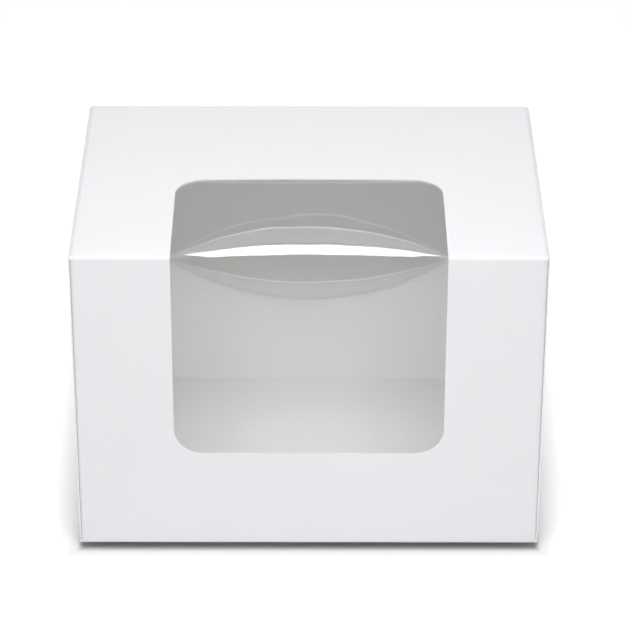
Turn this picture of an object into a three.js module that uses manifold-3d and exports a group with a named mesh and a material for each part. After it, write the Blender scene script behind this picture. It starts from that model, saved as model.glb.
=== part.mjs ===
// White tuck-end carton with a window that runs over its front fold.
// One folded sheet of paperboard makes the four panels, the glued lap and the dust flaps.
// The two end flaps hang from the top panel, and a clear film is glued behind the window.
// Millimetres, +Z up. The front faces -Y, and the origin is under the middle of the carton.

import * as THREE from 'three';
import { mergeVertices } from 'three/addons/utils/BufferGeometryUtils.js';
import Module from 'manifold-3d';

const wasm = await Module();
wasm.setup();

// Outside size of the folded carton
const cartonWidth = 139.7;
const cartonDepth = 101.6;
const cartonHeight = 101.6;

// Paperboard thickness, and the outer radius of every crease
const board = 0.46;
const creaseRadius = 1.0;

// The bottom panel bows down: its front crease stands this high, and the bow runs this far back
const frontLift = 2.3;
const bowRun = 32;

// Window: its width, its reach back over the top and down the front, and its corner radius
const windowWidth = 80.6;
const windowBack = 49.3;
const windowDown = 66.9;
const windowCorner = 8.5;

// Film: its thickness, the glued margin round the window, and the glue line that holds it
const filmThickness = 0.15;
const filmMargin = 9;
const glueLine = 0.05;

// Film bend at the fold: how far it springs off the top and off the front at mid window,
// and how far where it is glued down beside the window
const bendBack = 31;
const bendDown = 18.5;
const bendAtSeam = 2;

// Lap glued inside the back panel: its length, how far its ends slope in, and its straight root
const lapLength = 14;
const lapTaper = 5;
const lapRoot = 2;

// Dust flaps: length, corner radius, and how far the two sloped edges close in
const dustLength = 34;
const dustCorner = 5;
const dustTaperTop = 3;
const dustTaperBottom = 7;

// Tuck tab: length and corner radius
const tabLength = 15;
const tabCorner = 10;

// Clearances: end flap to dust flap, end flap to the folds beside it, tab to bottom panel,
// tab to dust flap, top fold to dust flap, across the hinge crease, and bottom panel to end flap face
const flapGap = 0.15;
const foldGap = 0.2;
const tabGap = 0.15;
const dustGap = 0.8;
const slitGap = 0.3;
const hingeGap = 0.08;
const edgeInset = 0.1;

// Facets: steps in a crease, in the bow, in a rounded corner and in the film bend
const creaseSteps = 4;
const bowSteps = 4;
const cornerSteps = 5;
const bendSteps = 10;
const filmSteps = 16;

// Cutters and laps that are joined away reach this far past what they meet
const overcut = 2;

// Grid for every corner, so that faces meant to meet lie in one plane
const cornerGrid = 1 / 4096;

// Planes and points that several pieces share
const frontY = -cartonDepth / 2;
const backY = cartonDepth / 2;
const sideX = cartonWidth / 2;
const innerRadius = creaseRadius - board;
const topFoldZ = cartonHeight - creaseRadius;
const dustFaceX = sideX - board - flapGap;
const dustCreaseX = dustFaceX - creaseRadius;
const hingeCreaseX = sideX - creaseRadius;
const flapFrontY = frontY + creaseRadius + foldGap;
const flapBackY = backY - board - creaseRadius - foldGap;

// Bow of the bottom panel: a parabola that is level where it meets the table
const bowSlope = Math.atan(2 * frontLift / bowRun);
const bowEndY = frontY + bowRun;
const bowStartY = frontY + creaseRadius * (1 - Math.sin(bowSlope));
const bowStartZ = Math.tan(bowSlope) * (bowEndY - bowStartY) / 2;
const frontCreaseZ = bowStartZ + creaseRadius * Math.cos(bowSlope);

// Height of the bottom panel's underside at a place from front to back
function bottomLift(y) {
  const run = Math.max(0, bowEndY - y);
  return bowStartZ * (run / (bowEndY - bowStartY)) ** 2;
}

// Hinge axis: the outer middle of the crease between the top panel and an end flap
// Each half of the crease stops short of it by half the hinge gap
const quarter = Math.PI / 2;
const hingeX = hingeCreaseX + creaseRadius * Math.SQRT1_2;
const hingeZ = topFoldZ + creaseRadius * Math.SQRT1_2;
const slitAngle = hingeGap / 2 / creaseRadius;

const paperboard = new THREE.MeshStandardMaterial({ color: 0xf2f3f5, roughness: 0.55, metalness: 0 });
const clearFilm = new THREE.MeshStandardMaterial({
  color: 0xf4f6f7,
  roughness: 0.08,
  metalness: 0,
  transparent: true,
  opacity: 0.3,
});

// Frames that turn a flat outline so that it is extruded along +X, -Y or +Z
const alongX = new THREE.Matrix4().makeBasis(
  new THREE.Vector3(0, 1, 0),
  new THREE.Vector3(0, 0, 1),
  new THREE.Vector3(1, 0, 0),
);
const alongY = new THREE.Matrix4().makeBasis(
  new THREE.Vector3(1, 0, 0),
  new THREE.Vector3(0, 0, 1),
  new THREE.Vector3(0, -1, 0),
);
const alongZ = new THREE.Matrix4();

// Extrudes an outline over a length, in one of the frames, from a starting point
function extrude(shape, frame, length, start) {
  const geometry = new THREE.ExtrudeGeometry(shape, {
    depth: length,
    bevelEnabled: false,
    curveSegments: creaseSteps,
  });
  geometry.applyMatrix4(frame);
  geometry.translate(start.x, start.y, start.z);
  return toManifold(geometry);
}

// A block between two corners
function block(low, high) {
  const size = new THREE.Vector3().subVectors(high, low);
  const geometry = new THREE.BoxGeometry(size.x, size.y, size.z);
  const middle = new THREE.Vector3().addVectors(low, high).multiplyScalar(0.5);
  geometry.translate(middle.x, middle.y, middle.z);
  return toManifold(geometry);
}

// Puts corners on a fine grid and merges the shared ones, so that joins and cuts see one closed solid
function toManifold(geometry) {
  geometry.deleteAttribute('normal');
  geometry.deleteAttribute('uv');
  const corners = geometry.attributes.position.array;
  corners.forEach((value, i) => {
    corners[i] = Math.round(value / cornerGrid) * cornerGrid;
  });
  const merged = mergeVertices(geometry);
  return new wasm.Manifold(new wasm.Mesh({
    numProp: 3,
    vertProperties: merged.attributes.position.array,
    triVerts: Uint32Array.from(merged.index.array),
  }));
}

// Turns a joined solid back into a mesh of its own
function toMesh(solid, name, material) {
  const data = solid.getMesh();
  const geometry = new THREE.BufferGeometry();
  geometry.setAttribute('position', new THREE.BufferAttribute(data.vertProperties, 3));
  geometry.setIndex(new THREE.BufferAttribute(data.triVerts, 1));
  geometry.computeVertexNormals();
  const mesh = new THREE.Mesh(geometry, material);
  mesh.name = name;
  return mesh;
}

// Skins a row of closed outlines of equal length and closes both ends
// place turns an outline's point and its station into a point in space
function loft(outlines, stations, place) {
  const count = outlines[0].length;
  const rings = THREE.ShapeUtils.isClockWise(outlines[0])
    ? outlines.map((outline) => outline.toReversed())
    : outlines;
  const positions = rings.flatMap((ring, i) => ring.flatMap((point) => place(point, stations[i])));
  const faces = [];
  for (let i = 0; i < rings.length - 1; i += 1) {
    for (let j = 0; j < count; j += 1) {
      const near = i * count + j;
      const next = i * count + (j + 1) % count;
      faces.push(near, next, next + count);
      faces.push(near, next + count, near + count);
    }
  }
  const lastRing = (rings.length - 1) * count;
  for (const [a, b, c] of THREE.ShapeUtils.triangulateShape(rings[0], [])) {
    faces.push(a, c, b);
  }
  for (const [a, b, c] of THREE.ShapeUtils.triangulateShape(rings.at(-1), [])) {
    faces.push(lastRing + a, lastRing + b, lastRing + c);
  }
  const geometry = new THREE.BufferGeometry();
  geometry.setAttribute('position', new THREE.Float32BufferAttribute(positions, 3));
  geometry.setIndex(faces);
  return toManifold(geometry);
}

// Section of the tube, seen from the side: outer skin first, then the hollow
function tubeSection() {
  const seamY = backY - board;
  const outer = new THREE.Shape();
  outer.moveTo(backY, topFoldZ);
  outer.lineTo(seamY, topFoldZ);
  outer.absarc(seamY - creaseRadius, topFoldZ, creaseRadius, 0, quarter, false);
  outer.absarc(frontY + creaseRadius, topFoldZ, creaseRadius, quarter, 2 * quarter, false);
  outer.absarc(frontY + creaseRadius, frontCreaseZ, creaseRadius, 2 * quarter, 3 * quarter - bowSlope, false);
  addBow(outer, 0);
  outer.absarc(backY - creaseRadius, creaseRadius, creaseRadius, 3 * quarter, 4 * quarter, false);
  outer.closePath();

  const hollow = new THREE.Path();
  hollow.moveTo(seamY, topFoldZ - lapRoot);
  hollow.lineTo(seamY - board, topFoldZ - lapRoot);
  hollow.absarc(seamY - creaseRadius, topFoldZ, innerRadius, 0, quarter, false);
  hollow.absarc(frontY + creaseRadius, topFoldZ, innerRadius, quarter, 2 * quarter, false);
  hollow.absarc(frontY + creaseRadius, frontCreaseZ, innerRadius, 2 * quarter, 3 * quarter - bowSlope, false);
  addBow(hollow, board);
  hollow.absarc(backY - creaseRadius, creaseRadius, innerRadius, 3 * quarter, 4 * quarter, false);
  hollow.closePath();
  outer.holes.push(hollow);
  return outer;
}

// Adds the bowed front of the bottom panel, a given distance above its underside
function addBow(path, offset) {
  const startY = bowStartY + offset * Math.sin(bowSlope);
  const startZ = bowStartZ + offset * Math.cos(bowSlope);
  const steepY = startY + (startZ - offset) / Math.tan(bowSlope);
  const bow = new THREE.QuadraticBezierCurve(
    new THREE.Vector2(startY, startZ),
    new THREE.Vector2(steepY, offset),
    new THREE.Vector2(bowEndY, offset),
  );
  for (let i = 1; i <= bowSteps; i += 1) {
    const point = bow.getPoint(i / bowSteps);
    path.lineTo(point.x, point.y);
  }
}

// Cut that clears the carton's end, so that each panel stops at its own crease or edge
function endRelief(side) {
  const span = (nearX, farX, lowY, highY, lowZ, highZ) => block(
    new THREE.Vector3(Math.min(side * nearX, side * farX), lowY, lowZ),
    new THREE.Vector3(Math.max(side * nearX, side * farX), highY, highZ),
  );
  const farX = sideX + overcut;
  const highZ = cartonHeight + overcut;
  const frontEnd = span(dustCreaseX, farX, frontY - overcut, 0, frontCreaseZ, topFoldZ);
  const backEnd = span(dustCreaseX, farX, 0, backY + overcut, creaseRadius, topFoldZ);
  const foldEnds = span(dustFaceX, farX, frontY - overcut, backY + overcut, frontCreaseZ, highZ);
  const hingeSide = span(hingeCreaseX, farX, flapFrontY - foldGap, flapBackY + foldGap, frontCreaseZ, highZ);
  return frontEnd.add(backEnd).add(foldEnds).add(hingeSide);
}

// The top panel's half of the hinge crease
function hingeCrease(side) {
  const crease = new THREE.Shape();
  crease.moveTo(hingeCreaseX - overcut, cartonHeight);
  crease.lineTo(hingeCreaseX - overcut, cartonHeight - board);
  crease.absarc(hingeCreaseX, topFoldZ, innerRadius, quarter, quarter / 2 + slitAngle, true);
  crease.absarc(hingeCreaseX, topFoldZ, creaseRadius, quarter / 2 + slitAngle, quarter, false);
  const start = new THREE.Vector3(0, flapBackY, 0);
  return extrude(mirrored(crease, side, 1), alongY, flapBackY - flapFrontY, start);
}

// The same outline, turned over to another side
function mirrored(shape, signX, signY) {
  const points = shape.getPoints(creaseSteps);
  return new THREE.Shape(points.map((point) => new THREE.Vector2(signX * point.x, signY * point.y)));
}

// A dust flap: it leaves the front or back panel at a crease and lies behind the end flap
function dustFlap(side, end, creaseLowZ) {
  const panel = new THREE.Shape();
  const reach = frontY + dustLength;
  panel.moveTo(dustCreaseX - overcut, frontY);
  panel.absarc(dustCreaseX, frontY + creaseRadius, creaseRadius, -quarter, 0, false);
  panel.lineTo(dustFaceX, reach);
  panel.lineTo(dustFaceX - board, reach);
  panel.absarc(dustCreaseX, frontY + creaseRadius, innerRadius, 0, -quarter, true);
  panel.lineTo(dustCreaseX - overcut, frontY + board);
  const bent = extrude(mirrored(panel, side, -end), alongZ, cartonHeight, new THREE.Vector3());

  const highZ = topFoldZ - slitGap;
  const freeLowZ = creaseLowZ + dustTaperBottom;
  const freeHighZ = highZ - dustTaperTop;
  const bendY = frontY + creaseRadius + overcut;
  const outline = new THREE.Shape();
  outline.moveTo(frontY - overcut, creaseLowZ);
  outline.lineTo(bendY, creaseLowZ);
  outline.lineTo(reach - dustCorner, freeLowZ);
  outline.quadraticCurveTo(reach, freeLowZ, reach, freeLowZ + dustCorner);
  outline.lineTo(reach, freeHighZ - dustCorner);
  outline.quadraticCurveTo(reach, freeHighZ, reach - dustCorner, freeHighZ);
  outline.lineTo(bendY, highZ);
  outline.lineTo(frontY - overcut, highZ);
  const start = new THREE.Vector3(-sideX, 0, 0);
  return bent.intersect(extrude(mirrored(outline, -end, 1), alongX, cartonWidth, start));
}

// The lap that hangs from the top panel's back crease and is glued to the back panel
function gluedLap() {
  const lap = new THREE.Shape();
  const rootZ = topFoldZ - lapRoot;
  lap.moveTo(-dustCreaseX, rootZ + lapRoot / 2);
  lap.lineTo(-dustCreaseX, rootZ);
  lap.lineTo(-dustCreaseX + lapTaper, topFoldZ - lapLength);
  lap.lineTo(dustCreaseX - lapTaper, topFoldZ - lapLength);
  lap.lineTo(dustCreaseX, rootZ);
  lap.lineTo(dustCreaseX, rootZ + lapRoot / 2);
  return extrude(lap, alongY, board, new THREE.Vector3(0, backY - board, 0));
}

// The window, cut through the front, the fold and the top
function windowCut() {
  const halfWidth = windowWidth / 2;
  const openSide = (reach) => {
    const outline = new THREE.Shape();
    const arcX = halfWidth - windowCorner;
    const arcY = windowCorner - reach;
    outline.moveTo(-halfWidth, overcut);
    outline.lineTo(-halfWidth, arcY);
    outline.absarc(-arcX, arcY, windowCorner, 2 * quarter, 3 * quarter, false);
    outline.absarc(arcX, arcY, windowCorner, 3 * quarter, 4 * quarter, false);
    outline.lineTo(halfWidth, overcut);
    return outline;
  };
  const cutDepth = creaseRadius + overcut;
  const frontStart = new THREE.Vector3(0, frontY + creaseRadius, cartonHeight);
  const frontCut = extrude(openSide(windowDown), alongY, cutDepth, frontStart);
  const topStart = new THREE.Vector3(0, frontY, topFoldZ);
  const topCut = extrude(mirrored(openSide(windowBack), 1, -1), alongZ, cutDepth, topStart);
  return frontCut.add(topCut);
}

// Carton body: the four panels, the lap and the dust flaps, as one folded sheet
function cartonBody() {
  const tubeLength = cartonWidth - 2 * edgeInset;
  const start = new THREE.Vector3(-tubeLength / 2, 0, 0);
  let sheet = extrude(tubeSection(), alongX, tubeLength, start).add(gluedLap());
  const tabStack = 2 * board + tabGap + dustGap;
  for (const side of [-1, 1]) {
    sheet = sheet.subtract(endRelief(side)).add(hingeCrease(side));
    sheet = sheet.add(dustFlap(side, -1, bottomLift(flapFrontY) + tabStack));
    sheet = sheet.add(dustFlap(side, 1, creaseRadius + tabStack));
  }
  return toMesh(sheet.subtract(windowCut()), 'carton_body', paperboard);
}

// Section of an end flap: half the hinge crease, the panel, the lower crease and the tuck tab
// The tab curls round the hinge axis, so it draws out past the bottom panel as the flap opens
function flapSection(side, lift, tab) {
  const tabRadius = hingeZ - lift - board - tabGap;
  const offsetX = hingeCreaseX - hingeX;
  const creaseZ = hingeZ - Math.sqrt((tabRadius - creaseRadius) ** 2 - offsetX ** 2);
  const turn = Math.atan2(creaseZ - hingeZ, offsetX);
  const tabEnd = turn - tab / tabRadius;

  const upper = (radius) => arcPoints(hingeCreaseX, topFoldZ, radius, quarter / 2 - slitAngle, 0);
  const lower = (radius) => arcPoints(hingeCreaseX, creaseZ, radius, 0, turn);
  const tuck = (radius) => arcPoints(hingeX, hingeZ, radius, turn, tabEnd).slice(1);
  const outside = [...upper(creaseRadius), ...lower(creaseRadius), ...tuck(tabRadius)];
  const inside = [...upper(innerRadius), ...lower(innerRadius), ...tuck(tabRadius - board)];
  return [...outside, ...inside.toReversed()].map((point) => new THREE.Vector2(side * point.x, point.y));
}

// Points along an arc, both ends included
function arcPoints(centreX, centreY, radius, from, to) {
  const arc = new THREE.EllipseCurve(centreX, centreY, radius, radius, from, to, to < from);
  return arc.getPoints(2 * creaseSteps);
}

// Places from back to front where an end flap's section is drawn, with the tab's length there
function flapStations() {
  const corner = Array.from({ length: cornerSteps + 1 }, (_, i) => {
    const angle = quarter * i / cornerSteps;
    return {
      inset: tabCorner * (1 - Math.cos(angle)),
      tab: tabLength - tabCorner * (1 - Math.sin(angle)),
    };
  });
  const backCorner = corner.map(({ inset, tab }) => ({ y: flapBackY - inset, tab }));
  const frontCorner = corner.map(({ inset, tab }) => ({ y: flapFrontY + inset, tab }));
  const bowFront = flapFrontY + tabCorner;
  const bow = Array.from({ length: bowSteps }, (_, i) => ({
    y: bowEndY + (bowFront - bowEndY) * i / bowSteps,
    tab: tabLength,
  }));
  return [...backCorner, ...bow, ...frontCorner.toReversed()];
}

// End flap with its tuck tab: its lower crease follows the bowed bottom panel
function endFlap(side, name) {
  const stations = flapStations();
  const outlines = stations.map(({ y, tab }) => flapSection(side, bottomLift(y), tab));
  const flap = loft(outlines, stations.map(({ y }) => y), (point, y) => [point.x, y, point.y]);
  return toMesh(flap, name, paperboard);
}

// Section of the film, seen from the side: flat on the top and the front, bent between them
function filmSection(spring) {
  const topZ = cartonHeight - board - glueLine;
  const faceY = frontY + board + glueLine;
  const endY = frontY + windowBack + filmMargin;
  const endZ = cartonHeight - windowDown - filmMargin;
  const side = (offset) => {
    const corner = new THREE.Vector2(faceY + offset, topZ - offset);
    const bend = new THREE.QuadraticBezierCurve(
      new THREE.Vector2(frontY + bendAtSeam + (bendBack - bendAtSeam) * spring, topZ - offset),
      corner,
      new THREE.Vector2(faceY + offset, cartonHeight - bendAtSeam - (bendDown - bendAtSeam) * spring),
    );
    return [
      new THREE.Vector2(endY, topZ - offset),
      ...bend.getPoints(bendSteps),
      new THREE.Vector2(faceY + offset, endZ),
    ];
  };
  return [...side(0), ...side(filmThickness).toReversed()];
}

// Window film: glued down at both sides, it springs off the fold most at mid window
function windowFilm() {
  const halfWindow = windowWidth / 2;
  const stations = [-halfWindow - filmMargin];
  for (let i = 0; i <= filmSteps; i += 1) {
    stations.push(-halfWindow * Math.cos(Math.PI * i / filmSteps));
  }
  stations.push(halfWindow + filmMargin);
  const outlines = stations.map((x) => filmSection(Math.max(0, 1 - (x / halfWindow) ** 2)));
  const film = loft(outlines, stations, (point, x) => [x, point.x, point.y]);
  return toMesh(film, 'window_film', clearFilm);
}

const carton = new THREE.Group();
carton.add(cartonBody());
carton.add(endFlap(-1, 'left_end_flap'));
carton.add(endFlap(1, 'right_end_flap'));
carton.add(windowFilm());

export default carton;
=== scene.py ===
"""White tuck-end carton with a window that runs over its front fold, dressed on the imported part.

The carton is one flat blank of paperboard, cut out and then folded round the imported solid's own
creases. The two end flaps are blanks of their own that bend at the hinge crease, and the clear
film is bent over the open fold by a node tree. Lengths are metres unless a name says otherwise.
"""

import math

import bpy
from bpy.props import FloatProperty, FloatVectorProperty, IntProperty, PointerProperty
from mathutils import Matrix, Vector, noise
from mathutils.geometry import delaunay_2d_cdt


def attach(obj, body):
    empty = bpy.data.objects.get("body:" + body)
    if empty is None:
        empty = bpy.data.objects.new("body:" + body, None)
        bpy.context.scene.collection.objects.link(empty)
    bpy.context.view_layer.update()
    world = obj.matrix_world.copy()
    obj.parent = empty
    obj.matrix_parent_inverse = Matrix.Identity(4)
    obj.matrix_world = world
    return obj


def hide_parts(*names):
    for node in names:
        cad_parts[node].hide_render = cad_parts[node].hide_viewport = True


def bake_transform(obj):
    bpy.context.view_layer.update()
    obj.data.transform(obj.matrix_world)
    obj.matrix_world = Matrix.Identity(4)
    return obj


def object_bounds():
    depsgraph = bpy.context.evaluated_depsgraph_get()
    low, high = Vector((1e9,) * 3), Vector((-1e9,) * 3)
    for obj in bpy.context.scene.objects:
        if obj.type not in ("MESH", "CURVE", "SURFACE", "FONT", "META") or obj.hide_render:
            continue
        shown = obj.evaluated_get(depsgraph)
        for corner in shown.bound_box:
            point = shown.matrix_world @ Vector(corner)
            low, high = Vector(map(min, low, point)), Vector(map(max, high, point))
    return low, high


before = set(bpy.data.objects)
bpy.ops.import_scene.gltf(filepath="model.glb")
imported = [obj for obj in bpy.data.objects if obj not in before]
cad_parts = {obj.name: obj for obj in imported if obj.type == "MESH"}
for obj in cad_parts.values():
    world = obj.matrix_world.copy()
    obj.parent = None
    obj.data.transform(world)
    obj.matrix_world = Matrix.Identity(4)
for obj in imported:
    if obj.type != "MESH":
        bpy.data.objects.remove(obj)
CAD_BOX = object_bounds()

bl_info = {
    "name": "Cookie box",
    "version": (1, 0, 0),
    "blender": (4, 5, 0),
    "location": "3D View > Sidebar > Cookie box",
    "description": "Folds a window carton, its end flaps and its film on the packed part",
    "category": "Object",
}

MM = 0.001
QUARTER = math.pi / 2

# Outside of the folded carton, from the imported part
CARTON_LOW, CARTON_HIGH = CAD_BOX
SIDE_X = CARTON_HIGH.x
FRONT_Y = CARTON_LOW.y
BACK_Y = CARTON_HIGH.y
HEIGHT = CARTON_HIGH.z

# Paperboard thickness and the outer radius of its creases
BOARD = 0.46 * MM
CREASE = 1.0 * MM

# Clearances and the small steps between the folded parts
FLAP_GAP = 0.15 * MM
FOLD_GAP = 0.2 * MM
TAB_GAP = 0.15 * MM
DUST_GAP = 0.8 * MM
SLIT_GAP = 0.3 * MM
EDGE_INSET = 0.1 * MM
GLUE_LINE = 0.05 * MM

# The bottom panel bows down behind its raised front crease
FRONT_LIFT = 2.3 * MM
BOW_RUN = 32 * MM

# Lap glued inside the back panel, and the dust flaps
LAP_LENGTH = 14 * MM
LAP_TAPER = 5 * MM
LAP_ROOT = 2 * MM
DUST_LENGTH = 34 * MM
DUST_CORNER = 5 * MM
DUST_TAPER_TOP = 3 * MM
DUST_TAPER_BOTTOM = 7 * MM

# Lines that several pieces share
TOP_FOLD_Z = HEIGHT - CREASE
DUST_FACE_X = SIDE_X - BOARD - FLAP_GAP
DUST_CREASE_X = DUST_FACE_X - CREASE
HINGE_CREASE_X = SIDE_X - CREASE
FLAP_FRONT_Y = FRONT_Y + CREASE + FOLD_GAP
FLAP_BACK_Y = BACK_Y - BOARD - CREASE - FOLD_GAP
HINGE_X = HINGE_CREASE_X + CREASE * math.sqrt(0.5)
HINGE_Z = TOP_FOLD_Z + CREASE * math.sqrt(0.5)
BOW_SLOPE = math.atan(2 * FRONT_LIFT / BOW_RUN)
BOW_END_Y = FRONT_Y + BOW_RUN
BOW_START_Y = FRONT_Y + CREASE * (1 - math.sin(BOW_SLOPE))
BOW_START_Z = math.tan(BOW_SLOPE) * (BOW_END_Y - BOW_START_Y) / 2
FRONT_CREASE_Z = BOW_START_Z + CREASE * math.cos(BOW_SLOPE)

# Creases along the tube's path
TUBE_CREASES = ("back_top", "fold", "front_bottom", "back_bottom")

# Steps in a crease, spacing of the points on a panel, and steps in a rounded corner
CREASE_STEPS = 6
PANEL_STEP = 4 * MM
CORNER_STEPS = 10
GRID_SNAP = 1e-4

# The blank is cut out in millimetres, which suits the triangulation's tolerance
SHEET_SCALE = 1000.0

# Straight run of a dust flap's root past its crease, and how far its foot reaches past the panel
DUST_ROOT = 2 * MM
DUST_FOOT = 0.05 * MM

# How far a score's bead and the painted shade of a crease reach to each side of its middle
BEAD_REACH = 0.9 * MM
CREASE_SHADE_REACH = 1.4 * MM
FLAP_BEAD_SHARE = 0.8

# How far from an edge a panel stays flat, and how many waves it has in a metre
CALM_REACH = 9 * MM
WAVE_SCALE = 22
SPRING_REACH = 8 * MM
SPRING_EDGE = 4 * MM
LIP_REACH = 18 * MM

# Faces that meet at more than this angle keep a sharp edge
BOARD_SHARP_ANGLE = math.radians(38)
FILM_SHARP_ANGLE = math.radians(50)

# Paperboard finishes: roughness, strength of clouds, flecks and tooth, painted shade in the
# creases, and how much light passes into the board
BOARD_FINISHES = {
    "Coated board": (0.42, 0.02, 0.012, 0.35, 0.05, 0.4),
    "Uncoated board": (0.72, 0.035, 0.05, 0.9, 0.06, 0.4),
    "Cut board edge": (0.8, 0.04, 0.06, 1.0, 0.0, 0.0),
}
FLECK_DULLING = 0.12
TOOTH_DEPTH = 0.02 * MM
SCATTER_DEPTH = 1.2 * MM

# Film: points across and along its grid, and its ripples, haze and gentle sway per metre
FILM_COLUMNS, FILM_ROWS = 141, 103
RIPPLE_SCALE = 60.0
FILM_IOR = 1.6
HAZE_SCALE, HAZE_LOW, HAZE_SPAN = 90.0, 0.005, 0.03
SWAY_SCALE, SWAY_DEPTH = 30.0, 0.2 * MM
FILM_CLEARNESS = (0.98, 0.98, 0.98, 1.0)


def bottom_lift(y):
    """Height of the bottom panel's underside at a place from front to back."""
    run = max(0.0, BOW_END_Y - y)
    return BOW_START_Z * (run / (BOW_END_Y - BOW_START_Y)) ** 2


# Folding


class FoldedTube:
    """The blank's path round the tube, from the lap's end to the back panel's cut edge.

    A place along the path gives the point (y, z) and the outward normal of the outer skin.
    """

    def __init__(self):
        seam_y = BACK_Y - BOARD
        front_turn = QUARTER - BOW_SLOPE
        self.parts = []
        self.end = 0.0
        self.marks = {}
        self.flat("lap", (seam_y, TOP_FOLD_Z - LAP_LENGTH), (seam_y, TOP_FOLD_Z))
        self.arc("back_top", (seam_y - CREASE, TOP_FOLD_Z), 0, QUARTER)
        self.flat("top", (seam_y - CREASE, HEIGHT), (FRONT_Y + CREASE, HEIGHT))
        self.arc("fold", (FRONT_Y + CREASE, TOP_FOLD_Z), QUARTER, 2 * QUARTER)
        self.flat("front", (FRONT_Y, TOP_FOLD_Z), (FRONT_Y, FRONT_CREASE_Z))
        centre = (FRONT_Y + CREASE, FRONT_CREASE_Z)
        self.arc("front_bottom", centre, 2 * QUARTER, 2 * QUARTER + front_turn)
        self.bow("bow")
        self.flat("bottom", (BOW_END_Y, 0.0), (BACK_Y - CREASE, 0.0))
        self.arc("back_bottom", (BACK_Y - CREASE, CREASE), 3 * QUARTER, 4 * QUARTER)
        self.flat("back", (BACK_Y, CREASE), (BACK_Y, TOP_FOLD_Z))

    def add(self, name, length, place):
        self.marks[name] = (self.end, self.end + length)
        self.parts.append((self.end, self.end + length, place))
        self.end += length

    def flat(self, name, start, finish):
        run = Vector(finish) - Vector(start)
        length = run.length
        normal = (run.y / length, -run.x / length)

        def place(s):
            share = s / length
            return (start[0] + run.x * share, start[1] + run.y * share, *normal)

        self.add(name, length, place)

    def arc(self, name, centre, first, last):
        def place(s):
            angle = first + s / CREASE
            c, n = math.cos(angle), math.sin(angle)
            return (centre[0] + CREASE * c, centre[1] + CREASE * n, c, n)

        self.add(name, CREASE * (last - first), place)

    def bow(self, name):
        run = BOW_END_Y - BOW_START_Y
        length = math.hypot(run, BOW_START_Z)

        def place(s):
            y = BOW_START_Y + run * s / length
            slope = -2 * BOW_START_Z * (BOW_END_Y - y) / run**2
            size = math.hypot(slope, 1)
            return (y, bottom_lift(y), slope / size, -1 / size)

        self.add(name, length, place)

    def place(self, v):
        for start, finish, place in self.parts:
            if v <= finish or finish == self.end:
                return place(v - start)
        return None

    def at_height(self, name, z):
        """Path place on the front or back panel at a height."""
        start, finish = self.marks[name]
        return start + (TOP_FOLD_Z - z) if name == "front" else finish - (TOP_FOLD_Z - z)


def corner(centre, radius, first, last, steps=CORNER_STEPS):
    """Points along a rounded corner of an outline."""
    turns = [first + (last - first) * i / steps for i in range(steps + 1)]
    return [(centre[0] + radius * math.cos(a), centre[1] + radius * math.sin(a)) for a in turns]


def dust_outline(tube, panel):
    """Right-hand edge of a dust flap in the flat blank, in path order."""
    lift = bottom_lift(FLAP_FRONT_Y) if panel == "front" else CREASE
    low = lift + 2 * BOARD + TAB_GAP + DUST_GAP
    high = TOP_FOLD_Z - SLIT_GAP
    bend_u = DUST_CREASE_X + CREASE * QUARTER
    tip_u = bend_u + DUST_LENGTH - CREASE
    free_low, free_high = low + DUST_TAPER_BOTTOM, high - DUST_TAPER_TOP
    reach_u = tip_u - DUST_CORNER
    upper = corner((reach_u, free_high - DUST_CORNER), DUST_CORNER, QUARTER, 0)
    lower = corner((reach_u, free_low + DUST_CORNER), DUST_CORNER, 0, -QUARTER)
    crease_low = (FRONT_CREASE_Z if panel == "front" else CREASE) + DUST_FOOT
    root_u = bend_u + DUST_ROOT
    root = [(DUST_CREASE_X, high), (root_u, high)]
    foot = [(root_u, low), (bend_u, low), (bend_u, crease_low), (DUST_CREASE_X, crease_low)]
    downwards = [*root, *upper, *lower, *foot]
    points = [(u, tube.at_height(panel, z)) for u, z in downwards]
    return points if panel == "front" else points[::-1]


def carton_outline(tube):
    """Right-hand edge of the carton's blank, from the lap's end to the back panel's edge."""
    m = tube.marks
    bottom_x = SIDE_X - EDGE_INSET
    return [
        (DUST_CREASE_X - LAP_TAPER, 0.0),
        (DUST_CREASE_X, LAP_LENGTH - LAP_ROOT),
        (DUST_CREASE_X, m["back_top"][0]),
        (DUST_FACE_X, m["back_top"][0]),
        (DUST_FACE_X, m["back_top"][1]),
        (HINGE_CREASE_X, m["top"][0]),
        (HINGE_CREASE_X, m["top"][1]),
        (DUST_FACE_X, m["fold"][0]),
        (DUST_FACE_X, m["fold"][1]),
        (DUST_CREASE_X, m["front"][0]),
        *dust_outline(tube, "front"),
        (DUST_CREASE_X, m["front_bottom"][0]),
        (bottom_x, m["front_bottom"][0]),
        (bottom_x, m["back_bottom"][1]),
        (DUST_CREASE_X, m["back"][0]),
        *dust_outline(tube, "back"),
        (DUST_CREASE_X, m["back"][1]),
    ]


def window_outline(tube, half_width, back, down, radius):
    """The window's edge in the flat blank, run once round."""
    high = tube.marks["top"][1] - (back - CREASE)
    low = tube.marks["front"][0] + (down - CREASE)
    u, v0, v1 = half_width - radius, high + radius, low - radius
    return [
        *corner((u, v0), radius, -QUARTER, 0),
        *corner((u, v1), radius, 0, QUARTER),
        *corner((-u, v1), radius, QUARTER, 2 * QUARTER),
        *corner((-u, v0), radius, 2 * QUARTER, 3 * QUARTER),
    ]


# Cutting the blank


def inside(point, loop):
    """True if a point lies in a closed outline."""
    x, y = point
    hit = False
    for (ax, ay), (bx, by) in zip(loop, loop[1:] + loop[:1]):
        if (ay > y) != (by > y) and x < (bx - ax) * (y - ay) / (by - ay) + ax:
            hit = not hit
    return hit


def spread(start, finish, step):
    """Even places from start to finish, no further apart than a step."""
    count = max(1, math.ceil((finish - start) / step - 1e-6))
    return [start + (finish - start) * i / count for i in range(count + 1)]


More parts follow.
